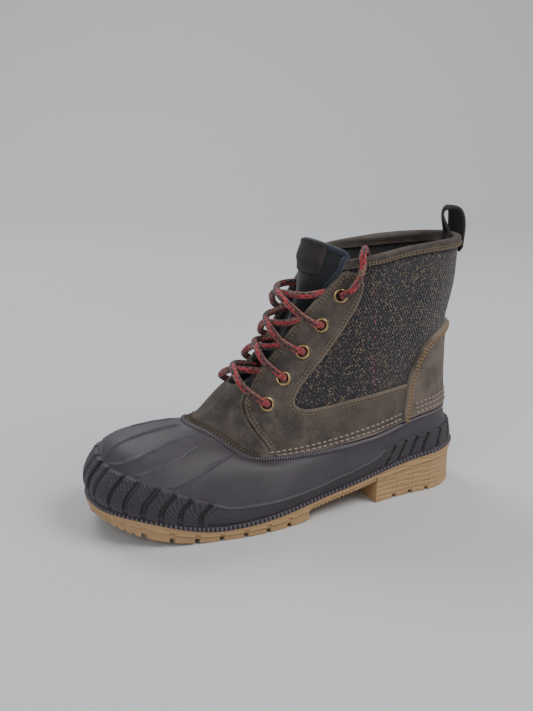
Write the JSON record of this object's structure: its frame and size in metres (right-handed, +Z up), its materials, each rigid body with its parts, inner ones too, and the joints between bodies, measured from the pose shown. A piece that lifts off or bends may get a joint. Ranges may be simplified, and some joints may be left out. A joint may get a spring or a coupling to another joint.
{
  "type": "winter boot",
  "caption": "Lace-up ankle boot for the left foot: leather and woven upper in a moulded rubber shell, on a lugged gum sole with a low block heel and a heel pull loop.",
  "frame": {"origin": "on the ground under the middle of the boot's box, measured without the loose lace end", "axes": "+X towards the toe, +Y towards the outer side of the left foot, +Z up"},
  "size_m": [0.2814, 0.1062, 0.2048],
  "materials": {
    "sole_gum": "matt tan gum rubber",
    "welt_rubber": "matt dark rubber with a toothed rim",
    "shell_rubber": "matt dark aubergine-brown rubber",
    "shaft_tweed": "dark woven tweed with pale flecks",
    "leather_dark": "oiled dark taupe nubuck, scuffed",
    "leather_pale": "lighter taupe nubuck",
    "leather_binding": "grey-brown leather, matt",
    "leather_patch": "dark brown leather, matt",
    "strap_leather": "near-black brown leather, matt",
    "tongue_felt": "black felt",
    "insole_felt": "dark felt",
    "eyelet_brass": "antique brass, worn",
    "lace_cloth": "round braided cord, red with grey-brown flecks"
  },
  "bodies": {
    "root": {"outsole": "sole_gum", "welt": "welt_rubber", "insole": "insole_felt", "shell": "shell_rubber", "upper": "shaft_tweed", "vamp": "leather_dark", "quarter_outer": "leather_dark", "quarter_inner": "leather_dark", "counter": "leather_pale", "collar_binding": "leather_binding", "tongue": "tongue_felt", "tongue_patch": "leather_patch", "pull_loop": "strap_leather", "lace_end": "lace_cloth", "eyelet_outer_1": "eyelet_brass", "eyelet_outer_2": "eyelet_brass", "eyelet_outer_3": "eyelet_brass", "eyelet_outer_4": "eyelet_brass", "eyelet_outer_5": "eyelet_brass", "eyelet_inner_1": "eyelet_brass", "eyelet_inner_2": "eyelet_brass", "eyelet_inner_3": "eyelet_brass", "eyelet_inner_4": "eyelet_brass", "eyelet_inner_5": "eyelet_brass", "lace_cross_1": "lace_cloth", "lace_cross_2": "lace_cloth", "lace_cross_3": "lace_cloth", "lace_cross_4": "lace_cloth"}
  },
  "joints": []
}
